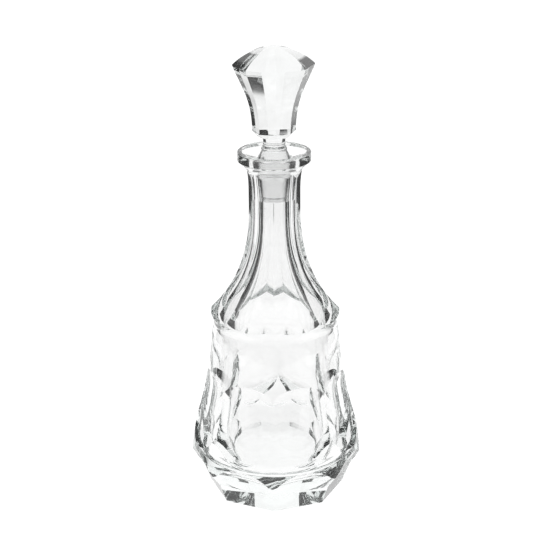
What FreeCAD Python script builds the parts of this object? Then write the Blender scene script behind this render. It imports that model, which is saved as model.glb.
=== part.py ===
import FreeCAD, Part
import math
import os

# A cut crystal decanter: a round-shouldered bottle with eight cut sides, and its stopper.
# Millimetres, +Z up. The origin is the middle of the flat base, and one corner of the
# eight-sided foot points along -Y.

SIDES = 8
HALF_STEP = math.pi / SIDES          # from the middle of a side to its corner
OVERSIZE = 400.0                     # longer than anything here is wide

# Heights of the bottle, measured from the table.
FACET_Z = 15.2                       # the low ring of corners, above the foot
GIRDLE_Z = 24.3                      # the widest ring of corners
FLOOR_Z = 25.0                       # inside floor, in the middle
GROOVE_Z = 129.5                     # the shallow groove under the bead
BEAD_Z = 137.0                       # middle of the bead round the shoulder
NECK_LOW_Z = 214.0                   # the neck is straight between these two heights
NECK_HIGH_Z = 230.0
NECK_TOP_Z = 243.0                   # where the eight-sided neck meets the lip
LIP_LOW_Z = 250.0                    # the upright band round the lip starts here
LIP_TOP_Z = 256.2

# Radii of the bottle. Where it is eight-sided they are measured to the corners.
FOOT_R = 49.2
FACET_R = 55.3
GIRDLE_R = 62.2
BELL_TOP_R = 45.9
GROOVE_R = 44.6
BEAD_R = 46.2
NECK_R = 18.2
LIP_R = 25.8
CAVITY_R = 46.0                      # widest part of the hollow inside
BORE_Z = 214.0                       # above this the hollow is a straight bore

# The cuts, in the upright plane through the middle of a side, as (radius, height).
OVAL_TOP = (48.9, 95.8)              # an oval cut is steep at its top and long below
OVAL_LOW = (60.9, 39.5)
OVAL_BETWEEN = [(47.3, 91.8), (46.8, 87.0), (47.5, 80.0), (49.2, 72.0),
                (51.4, 63.0), (54.1, 54.0), (57.5, 46.0)]
SCOOP_TOP = (60.6, 34.0)             # the cut below it, between girdle and foot
SCOOP_DEEP = (52.6, 19.0)
SCOOP_LOW = (49.4, 10.5)
SCOOP_CROWN_R = 90.0                 # how round the cutting wheel is across its rim
CUT_HALF_WIDTH = 28.0                # each cutter reaches this far past the middle of a side

# The stopper.
PLUG_LOW_Z = 221.6
PLUG_TOP_Z = 251.5
PLUG_LOW_R = 9.35
PLUG_TOP_R = 11.4
PLUG_GAP = 0.05                      # room between the plug and the ground mouth
WAIST_R = 7.8
COLLAR_Z = 258.0                     # the small ring at the foot of the waist
HEAD_LOW_Z = 267.3
RIM_Z = 314.0                        # the crease just under the crown's edge
CROWN_Z = 317.5                      # the corners of the crown
CROWN_R = 28.5
TOP_Z = 330.0
STOPPER_TURN = 6.1                   # degrees; a round plug may sit at any turn


# Outlines. A point is (radius, height), and a stretch of outline is a kind and its points.

def line(start, end):
    return ("line", [start, end])


def arc(start, middle, end):
    return ("arc", [start, middle, end])


def curve(*points):
    """A smooth curve through the points."""
    return ("curve", list(points))


def stretch_edge(kind, points, widen):
    """Stand one stretch up in the XZ plane as an edge."""
    vectors = [FreeCAD.Vector(radius * widen, 0, height) for radius, height in points]
    if kind == "line":
        return Part.LineSegment(*vectors).toShape()
    if kind == "arc":
        return Part.Arc(*vectors).toShape()
    spline = Part.BSplineCurve()
    spline.interpolate(vectors)
    return spline.toShape()


def turned(shape, degrees):
    """A copy turned about the upright axis."""
    copy = shape.copy()
    copy.rotate(FreeCAD.Vector(0, 0, 0), FreeCAD.Vector(0, 0, 1), degrees)
    return copy


def revolved(outline):
    """A round solid from an outline that starts and ends on the axis."""
    edges = [stretch_edge(kind, points, 1.0) for kind, points in outline]
    bottom = outline[0][1][0]
    top = outline[-1][1][-1]
    edges.append(stretch_edge("line", [top, bottom], 1.0))
    face = Part.Face(Part.Wire(edges))
    return face.revolve(FreeCAD.Vector(0, 0, 0), FreeCAD.Vector(0, 0, 1), 360)


def eight_sided(outline):
    """A solid with eight equal curved sides and a corner at -Y.

    The outline starts and ends on the axis and gives the corners. Four slabs that
    are shaped like the outline cross each other, and what they share is the solid.
    """
    across_sides = math.cos(HALF_STEP)
    right = [stretch_edge(kind, points, across_sides) for kind, points in outline]
    left = [stretch_edge(kind, points, -across_sides) for kind, points in outline]
    face = Part.Face(Part.Wire(Part.__sortEdges__(right + left)))
    face.translate(FreeCAD.Vector(0, -OVERSIZE / 2, 0))
    slab = face.extrude(FreeCAD.Vector(0, OVERSIZE, 0))
    half_step = math.degrees(HALF_STEP)
    slabs = [turned(slab, half_step * odd) for odd in (1, 3, 5, 7)]
    return slabs[0].common(slabs[1]).common(slabs[2]).common(slabs[3])


# The bottle.

def bell():
    """The round shape of bell and bead; below the girdle and above the bead it is oversize."""
    bead_top = (BEAD_R - 3.2, BEAD_Z + 6.5)
    clear_r = GIRDLE_R + 4.0
    return revolved([
        line((0, 0), (clear_r, 0)),
        line((clear_r, 0), (clear_r, GIRDLE_Z - 6.0)),
        line((clear_r, GIRDLE_Z - 6.0), (GIRDLE_R, GIRDLE_Z)),
        curve((GIRDLE_R, GIRDLE_Z), (61.6, 33.0), (59.6, 47.5), (55.3, 65.0),
              (51.6, 81.0), (48.2, 100.0), (46.4, 114.0), (BELL_TOP_R, 122.0),
              (GROOVE_R, GROOVE_Z), (BEAD_R, BEAD_Z), bead_top),
        line(bead_top, (BEAD_R - 4.0, NECK_TOP_Z)),
        line((BEAD_R - 4.0, NECK_TOP_Z), (0, NECK_TOP_Z)),
    ])


def panels():
    """The eight-sided cuts that shape the foot, the shoulder and the neck.

    Between the girdle and the bead they stand clear of the round bell.
    """
    open_r = GIRDLE_R + 20.0
    open_low = (open_r, GIRDLE_Z + 26.0)
    open_top = (open_r, BEAD_Z - 20.0)
    bead_edge = (BEAD_R + 4.2, BEAD_Z - 1.5)
    return eight_sided([
        line((0, 0), (FOOT_R, 0)),
        line((FOOT_R, 0), (FACET_R, FACET_Z)),
        line((FACET_R, FACET_Z), (GIRDLE_R, GIRDLE_Z)),
        line((GIRDLE_R, GIRDLE_Z), open_low),
        line(open_low, open_top),
        line(open_top, bead_edge),
        curve(bead_edge, (40.4, 145.5), (30.4, 159.7), (22.9, 178.0),
              (19.2, 196.0), (18.4, 206.0), (NECK_R, NECK_LOW_Z)),
        line((NECK_R, NECK_LOW_Z), (NECK_R, NECK_HIGH_Z)),
        curve((NECK_R, NECK_HIGH_Z), (NECK_R + 0.2, NECK_HIGH_Z + 5.0),
              (NECK_R + 1.2, NECK_TOP_Z)),
        line((NECK_R + 1.2, NECK_TOP_Z), (0, NECK_TOP_Z)),
    ])


def lip():
    """The round collar at the mouth, still without its opening."""
    round_over = 0.8
    root = (NECK_R - 1.2, NECK_TOP_Z - 5.0)
    under = (LIP_R - round_over, LIP_LOW_Z - round_over)
    band_low = (LIP_R, LIP_LOW_Z)
    band_top = (LIP_R, LIP_TOP_Z - round_over)
    corner = (LIP_R - 0.3 * round_over, LIP_TOP_Z - 0.3 * round_over)
    rim = (LIP_R - round_over, LIP_TOP_Z)
    return revolved([
        line((0, root[1]), root),
        curve(root, (NECK_R + 1.2, NECK_TOP_Z), under),
        line(under, band_low),
        line(band_low, band_top),
        arc(band_top, corner, rim),
        line(rim, (0, LIP_TOP_Z)),
    ])


def cavity():
    """The hollow inside: belly, bore, ground seat for the plug and dished mouth."""
    bore_r = PLUG_LOW_R + PLUG_GAP
    seat_top = (PLUG_TOP_R + PLUG_GAP, PLUG_TOP_Z)
    dish_edge = (LIP_R - 3.2, LIP_TOP_Z)
    above_lip = (LIP_R - 3.2, LIP_TOP_Z + 5.0)
    corner_low = (CAVITY_R - 9.0, FLOOR_Z + 0.8)
    corner_top = (CAVITY_R, FLOOR_Z + 10.5)
    return revolved([
        curve((0, FLOOR_Z), corner_low),
        arc(corner_low, (CAVITY_R - 2.6, FLOOR_Z + 3.4), corner_top),
        curve(corner_top, (46.0, 52.0), (42.3, 76.0), (39.6, 102.0), (38.5, 122.0),
              (34.4, 137.5), (24.0, 155.0), (15.0, 173.0), (10.6, 192.0), (9.7, 203.0),
              (bore_r, BORE_Z)),
        line((bore_r, BORE_Z), (bore_r, PLUG_LOW_Z)),
        line((bore_r, PLUG_LOW_Z), seat_top),
        arc(seat_top, (PLUG_TOP_R + 4.1, PLUG_TOP_Z + 1.4), dish_edge),
        line(dish_edge, above_lip),
        line(above_lip, (0, LIP_TOP_Z + 5.0)),
    ])


def scoop_cutter():
    """The cutting wheel of one scoop, at the +X side, with a rim that is crowned across."""
    stroke = stretch_edge("arc", [SCOOP_TOP, SCOOP_DEEP, SCOOP_LOW], 1.0).Curve
    centre = stroke.Center
    edge_drop = SCOOP_CROWN_R - math.sqrt(SCOOP_CROWN_R ** 2 - CUT_HALF_WIDTH ** 2)

    def place(across, reach):
        return FreeCAD.Vector(centre.x - reach, across, centre.z)

    edge_reach = stroke.Radius - edge_drop
    left_hub = place(-CUT_HALF_WIDTH, 0)
    left_edge = place(-CUT_HALF_WIDTH, edge_reach)
    right_edge = place(CUT_HALF_WIDTH, edge_reach)
    right_hub = place(CUT_HALF_WIDTH, 0)
    outline = Part.Wire([
        Part.makeLine(left_hub, left_edge),
        Part.Arc(left_edge, place(0, stroke.Radius), right_edge).toShape(),
        Part.makeLine(right_edge, right_hub),
        Part.makeLine(right_hub, left_hub),
    ])
    return Part.Face(outline).revolve(centre, FreeCAD.Vector(0, 1, 0), 360)


def oval_cutter():
    """The grinding stone of one oval cut, at the +X side. It is flat across."""
    clear_r = GIRDLE_R + 10.0
    clear_low = (clear_r, OVAL_LOW[1] - 6.0)
    clear_top = (clear_r, OVAL_TOP[1] + 6.0)
    face = Part.Face(Part.Wire([
        stretch_edge("curve", [OVAL_TOP] + OVAL_BETWEEN + [OVAL_LOW], 1.0),
        stretch_edge("line", [OVAL_LOW, clear_low], 1.0),
        stretch_edge("line", [clear_low, clear_top], 1.0),
        stretch_edge("line", [clear_top, OVAL_TOP], 1.0),
    ]))
    face.translate(FreeCAD.Vector(0, -CUT_HALF_WIDTH, 0))
    return face.extrude(FreeCAD.Vector(0, 2 * CUT_HALF_WIDTH, 0))


def round_the_sides(cutter):
    """One copy of a cutter for each side of the bottle."""
    step = 360.0 / SIDES
    return [turned(cutter, step * (side + 0.5)) for side in range(SIDES)]


def bottle():
    blank = bell().common(panels()).fuse(lip())
    blank = blank.cut(round_the_sides(scoop_cutter()))
    blank = blank.cut(round_the_sides(oval_cutter()))
    return blank.cut(cavity())


# The stopper.

def stopper_head():
    """The eight-sided head: flared sides under a domed crown."""
    foot = (12.0, HEAD_LOW_Z)
    chamfer = (15.1, HEAD_LOW_Z + 3.4)
    rim = (CROWN_R - 1.3, RIM_Z)
    return eight_sided([
        line((0, HEAD_LOW_Z), foot),
        line(foot, chamfer),
        curve(chamfer, (15.5, 278.0), (17.2, 289.0), (19.9, 297.5), (23.5, 305.9), rim),
        line(rim, (CROWN_R, CROWN_Z)),
        arc((CROWN_R, CROWN_Z), (16.0, 326.0), (0, TOP_Z)),
    ])


def stopper_shank():
    """The round waist and the ground plug."""
    bevel = 0.8
    plug_shoulder = (PLUG_TOP_R, PLUG_TOP_Z)
    collar_low = (WAIST_R + 0.9, COLLAR_Z - 0.9)
    collar_top = (WAIST_R + 0.4, COLLAR_Z + 1.2)
    into_head = (WAIST_R + 0.9, HEAD_LOW_Z + 0.4)
    return revolved([
        line((0, PLUG_LOW_Z), (PLUG_LOW_R - bevel, PLUG_LOW_Z)),
        line((PLUG_LOW_R - bevel, PLUG_LOW_Z), (PLUG_LOW_R, PLUG_LOW_Z + bevel)),
        line((PLUG_LOW_R, PLUG_LOW_Z + bevel), plug_shoulder),
        line(plug_shoulder, collar_low),
        arc(collar_low, (WAIST_R + 1.3, COLLAR_Z), collar_top),
        arc(collar_top, (WAIST_R, COLLAR_Z + 5.0), into_head),
        line(into_head, (0, HEAD_LOW_Z + 0.4)),
    ])


def stopper():
    return turned(stopper_head().fuse(stopper_shank()), STOPPER_TURN)


def write(node, shape):
    """Write one node as one clean solid."""
    solid = shape.removeSplitter().Solids[0]
    if not solid.isValid():
        raise RuntimeError(node + " is not a valid solid")
    solid.exportStep(os.path.join("parts", node + ".step"))


os.makedirs("parts", exist_ok=True)
write("bottle", bottle())
write("stopper", stopper())
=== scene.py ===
"""Looks of the cut crystal decanter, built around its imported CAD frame. Metres, +Z up."""
import math

import bpy
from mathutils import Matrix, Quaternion, Vector

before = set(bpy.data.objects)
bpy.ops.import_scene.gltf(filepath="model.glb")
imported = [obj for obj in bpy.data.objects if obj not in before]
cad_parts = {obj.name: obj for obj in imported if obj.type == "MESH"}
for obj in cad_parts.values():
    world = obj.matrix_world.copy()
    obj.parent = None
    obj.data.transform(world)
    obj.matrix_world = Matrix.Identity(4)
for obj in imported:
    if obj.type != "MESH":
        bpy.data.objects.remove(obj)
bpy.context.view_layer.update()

# The view: where the camera stands and how it is turned.
VIEW_AZIMUTH = math.radians(2.5)     # round the decanter's axis, from -Y towards +X
VIEW_DISTANCE = 1.050                # level distance from the axis
VIEW_HEIGHT = 0.5586                 # above the table
VIEW_PITCH = math.radians(20.60)     # looking down
VIEW_ROLL = math.radians(-0.38)      # a slight lean to one side
LENS_MM = 102.66
SENSOR_MM = 36.0

# The crystal. A tint is how much light a surface lets through, at its dullest and at its
# clearest spots. A ripple scale is how finely the polishing ripples are spaced.
CRYSTAL_IOR = 1.54
BOTTLE_TINT = (0.962, 0.988)
STOPPER_TINT = (0.900, 0.985)
BOTTLE_RIPPLE_SCALE = 55.0
STOPPER_RIPPLE_SCALE = 90.0
RIPPLE_STRENGTH = 0.02
RIPPLE_HEIGHT = 0.0004
ABSORB_COLOUR = (0.40, 0.55, 0.50, 1)
ABSORB_DENSITY = 1.5                 # per metre of glass

# The finely ground plug of the stopper and its seat in the mouth of the bottle.
GROUND_ROUGHNESS = 0.14
GROUND_R = 0.0117                    # all of it is nearer the axis than this,
GROUND_LOW_Z = 0.2222                # and between these two heights
GROUND_TOP_Z = 0.2513

# The studio: a strip of white paper under the decanter, a white backdrop behind it, and a white
# light high up all round, except behind the camera. The rest of the room is dim.
# The paper and the floor are painted light: the floor glows, bright on the paper and towards
# the backdrop, faint elsewhere, and the decanter casts no shadow on it. The studio turns with
# the camera.
WHITE = 1.15                         # how bright the paper's painted glow, the backdrop and the light are
DIM = 0.06                           # how bright the rest of the room is, and the faint glow painted on the floor off the paper
PLAIN = (1, 1, 1, 1)                 # the colour of all of them
FLOOR_SIZE = 6.0
FLOOR_GAP = 0.0003                   # keeps the floor just clear of the foot
PAPER_HALF = 0.37                    # half the width of the paper
PAPER_FRONT = 0.25                   # its reach from the axis, along the line of sight
PAPER_SOFT = 0.03                    # how soft its edges are
BACKDROP_HALF = 0.59                 # sine of half the angle that the backdrop spans
HIGH_LIGHT_FROM = 0.58               # sine of the angle above level where the light starts
HIGH_LIGHT_BEHIND = 0.70             # how far it comes round, where 1 leaves no gap
SOFT = 0.03                          # how soft the edges of these are, as sines

# How often light may bend, mirror and scatter on its way.
GLASS_BOUNCES = 24
MIRROR_BOUNCES = 12
SCATTER_BOUNCES = 2
CLEAR_BOUNCES = 16


# Materials.

def new_material(name):
    """An empty node material: its node tree and its output node."""
    material = bpy.data.materials.new(name)
    material.use_nodes = True
    tree = material.node_tree
    tree.nodes.clear()
    output = tree.nodes.new("ShaderNodeOutputMaterial")
    return material, tree, output


def math_node(tree, operation, first, second):
    """One sum on two values, each a socket or a number."""
    node = tree.nodes.new("ShaderNodeMath")
    node.operation = operation
    for place, value in enumerate((first, second)):
        if isinstance(value, (int, float)):
            node.inputs[place].default_value = value
        else:
            tree.links.new(value, node.inputs[place])
    return node.outputs["Value"]


def rises_past(tree, value, edge, soft):
    """0 below the edge, 1 above it, with a soft step between."""
    step = tree.nodes.new("ShaderNodeMapRange")
    step.interpolation_type = "SMOOTHSTEP"
    step.inputs["From Min"].default_value = edge - soft
    step.inputs["From Max"].default_value = edge + soft
    tree.links.new(value, step.inputs["Value"])
    return step.outputs["Result"]


def level_reach(tree, vector, unit):
    """How far the level part of a vector reaches sideways, and how far ahead of the camera.

    With unit, the level part is first made one long, so the two are a sine and a cosine.
    Ahead is along the sloping line of sight, so it comes out shorter than along the floor.
    """
    level = tree.nodes.new("ShaderNodeVectorMath")
    level.operation = "MULTIPLY"
    level.inputs[1].default_value = (1, 1, 0)
    tree.links.new(vector, level.inputs[0])
    reach = level.outputs["Vector"]
    if unit:
        scaled = tree.nodes.new("ShaderNodeVectorMath")
        scaled.operation = "NORMALIZE"
        tree.links.new(reach, scaled.inputs[0])
        reach = scaled.outputs["Vector"]
    turn = tree.nodes.new("ShaderNodeVectorTransform")
    turn.vector_type = "VECTOR"
    turn.convert_from = "WORLD"
    turn.convert_to = "CAMERA"
    tree.links.new(reach, turn.inputs["Vector"])
    split = tree.nodes.new("ShaderNodeSeparateXYZ")
    tree.links.new(turn.outputs["Vector"], split.inputs["Vector"])
    sideways = math_node(tree, "ABSOLUTE", split.outputs["X"], 0.0)
    return sideways, split.outputs["Z"]


def off_backdrop(tree, vector):
    """1 where a direction misses the white backdrop, else 0."""
    sideways, ahead = level_reach(tree, vector, True)
    towards_camera = math_node(tree, "MULTIPLY", ahead, -1.0)
    beside = rises_past(tree, sideways, BACKDROP_HALF, SOFT)
    in_front = rises_past(tree, towards_camera, 0.0, SOFT)
    return math_node(tree, "MAXIMUM", beside, in_front)


def off_paper(tree, place):
    """1 where a place on the floor misses the strip of white paper, whose bright glow is
    painted light, else 0.
    """
    sideways, ahead = level_reach(tree, place, False)
    towards_camera = math_node(tree, "MULTIPLY", ahead, -1.0)
    beside = rises_past(tree, sideways, PAPER_HALF, PAPER_SOFT)
    in_front = rises_past(tree, towards_camera, PAPER_FRONT, PAPER_SOFT)
    return math_node(tree, "MAXIMUM", beside, in_front)


def studio_light(tree, dim_part):
    """How bright the studio is: white, but dim by the dim part. The camera sees it as white. It
    sets the world's lamps and the glow painted on the floor.
    """
    path = tree.nodes.new("ShaderNodeLightPath")
    lit = math_node(tree, "SUBTRACT", 1.0, dim_part)
    lit = math_node(tree, "MULTIPLY", lit, WHITE - DIM)
    lit = math_node(tree, "ADD", lit, DIM)
    return math_node(tree, "MAXIMUM", lit, path.outputs["Is Camera Ray"])


def ground_part(tree, place):
    """1 on the ground plug and on its seat in the mouth, else 0."""
    split = tree.nodes.new("ShaderNodeSeparateXYZ")
    tree.links.new(place, split.inputs["Vector"])
    across = math_node(tree, "POWER", split.outputs["X"], 2.0)
    along = math_node(tree, "POWER", split.outputs["Y"], 2.0)
    radius = math_node(tree, "SQRT", math_node(tree, "ADD", across, along), 0.0)
    inside = math_node(tree, "LESS_THAN", radius, GROUND_R)
    above = math_node(tree, "GREATER_THAN", split.outputs["Z"], GROUND_LOW_Z)
    below = math_node(tree, "LESS_THAN", split.outputs["Z"], GROUND_TOP_Z)
    return math_node(tree, "MULTIPLY", inside, math_node(tree, "MULTIPLY", above, below))


def crystal_material(name, ripple_scale, tint_range):
    """Clear crystal with faint polishing ripples, a ground part and a breath of green."""
    material, tree, output = new_material(name)
    place = tree.nodes.new("ShaderNodeTexCoord").outputs["Object"]
    ripple = tree.nodes.new("ShaderNodeTexNoise")
    ripple.inputs["Scale"].default_value = ripple_scale
    tree.links.new(place, ripple.inputs["Vector"])
    bump = tree.nodes.new("ShaderNodeBump")
    bump.inputs["Strength"].default_value = RIPPLE_STRENGTH
    bump.inputs["Distance"].default_value = RIPPLE_HEIGHT
    tree.links.new(ripple.outputs["Fac"], bump.inputs["Height"])
    tint = tree.nodes.new("ShaderNodeMapRange")
    tint.inputs["To Min"].default_value = tint_range[0]
    tint.inputs["To Max"].default_value = tint_range[1]
    tree.links.new(ripple.outputs["Fac"], tint.inputs["Value"])
    glass = tree.nodes.new("ShaderNodeBsdfGlass")
    glass.inputs["IOR"].default_value = CRYSTAL_IOR
    tree.links.new(tint.outputs["Result"], glass.inputs["Color"])
    tree.links.new(bump.outputs["Normal"], glass.inputs["Normal"])
    rough = math_node(tree, "MULTIPLY", ground_part(tree, place), GROUND_ROUGHNESS)
    tree.links.new(rough, glass.inputs["Roughness"])
    tree.links.new(glass.outputs["BSDF"], output.inputs["Surface"])
    absorb = tree.nodes.new("ShaderNodeVolumeAbsorption")
    absorb.inputs["Color"].default_value = ABSORB_COLOUR
    absorb.inputs["Density"].default_value = ABSORB_DENSITY
    tree.links.new(absorb.outputs["Volume"], output.inputs["Volume"])
    return material


def floor_material():
    """Painted light on the floor: it glows instead of being lit, bright on the strip of paper
    and towards the backdrop, faint round both, and takes no shadow.
    """
    material, tree, output = new_material("glowing_floor_painted_light")
    place = tree.nodes.new("ShaderNodeNewGeometry").outputs["Position"]
    dim_part = math_node(tree, "MULTIPLY", off_paper(tree, place), off_backdrop(tree, place))
    # Painted light: the floor glows as if lit, and the decanter casts no shadow on it.
    glow = tree.nodes.new("ShaderNodeEmission")
    glow.inputs["Color"].default_value = PLAIN
    tree.links.new(studio_light(tree, dim_part), glow.inputs["Strength"])
    tree.links.new(glow.outputs["Emission"], output.inputs["Surface"])
    return material


# The object and the studio.

def dress(node, material):
    """Give a CAD node its material."""
    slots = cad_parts[node].data.materials
    slots.clear()
    slots.append(material)


def make_floor():
    """The floor, just under the foot, glowing with its painted light."""
    bpy.ops.mesh.primitive_plane_add(size=FLOOR_SIZE, location=(0, 0, -FLOOR_GAP))
    floor = bpy.context.object
    floor.name = "floor"
    floor.data.materials.append(floor_material())


def make_world():
    """The backdrop and the high light, in the dim room."""
    world = bpy.data.worlds.new("studio")
    bpy.context.scene.world = world
    world.use_nodes = True
    tree = world.node_tree
    tree.nodes.clear()
    output = tree.nodes.new("ShaderNodeOutputWorld")
    background = tree.nodes.new("ShaderNodeBackground")
    background.inputs["Color"].default_value = PLAIN
    direction = tree.nodes.new("ShaderNodeTexCoord").outputs["Generated"]
    split = tree.nodes.new("ShaderNodeSeparateXYZ")
    tree.links.new(direction, split.inputs["Vector"])
    high_up = rises_past(tree, split.outputs["Z"], HIGH_LIGHT_FROM, SOFT)
    ahead = level_reach(tree, direction, True)[1]
    past_gap = rises_past(tree, ahead, -HIGH_LIGHT_BEHIND, SOFT)
    high_light = math_node(tree, "MULTIPLY", high_up, past_gap)
    off_light = math_node(tree, "SUBTRACT", 1.0, high_light)
    dim_part = math_node(tree, "MULTIPLY", off_backdrop(tree, direction), off_light)
    tree.links.new(studio_light(tree, dim_part), background.inputs["Strength"])
    tree.links.new(background.outputs["Background"], output.inputs["Surface"])


def make_camera():
    """The camera, looking down at the decanter."""
    data = bpy.data.cameras.new("camera")
    data.lens = LENS_MM
    data.sensor_width = SENSOR_MM
    camera = bpy.data.objects.new("camera", data)
    bpy.context.scene.collection.objects.link(camera)
    away = Vector((math.sin(VIEW_AZIMUTH), -math.cos(VIEW_AZIMUTH), 0))
    camera.location = away * VIEW_DISTANCE + Vector((0, 0, VIEW_HEIGHT))
    look = -away * math.cos(VIEW_PITCH) - Vector((0, 0, math.sin(VIEW_PITCH)))
    lean = Quaternion((0, 0, 1), VIEW_ROLL)
    camera.rotation_euler = (look.to_track_quat("-Z", "Y") @ lean).to_euler()
    bpy.context.scene.camera = camera


def set_light_paths():
    """Let light pass through many cuts of the glass, and show white as white."""
    scene = bpy.context.scene
    scene.view_settings.view_transform = "Standard"
    cycles = scene.cycles
    cycles.max_bounces = GLASS_BOUNCES
    cycles.transmission_bounces = GLASS_BOUNCES
    cycles.glossy_bounces = MIRROR_BOUNCES
    cycles.diffuse_bounces = SCATTER_BOUNCES
    cycles.transparent_max_bounces = CLEAR_BOUNCES
    cycles.use_denoising = True
    cycles.caustics_refractive = True
    cycles.caustics_reflective = True


dress("bottle", crystal_material("bottle_crystal", BOTTLE_RIPPLE_SCALE, BOTTLE_TINT))
dress("stopper", crystal_material("stopper_crystal", STOPPER_RIPPLE_SCALE, STOPPER_TINT))
make_floor()
make_world()
make_camera()
set_light_paths()
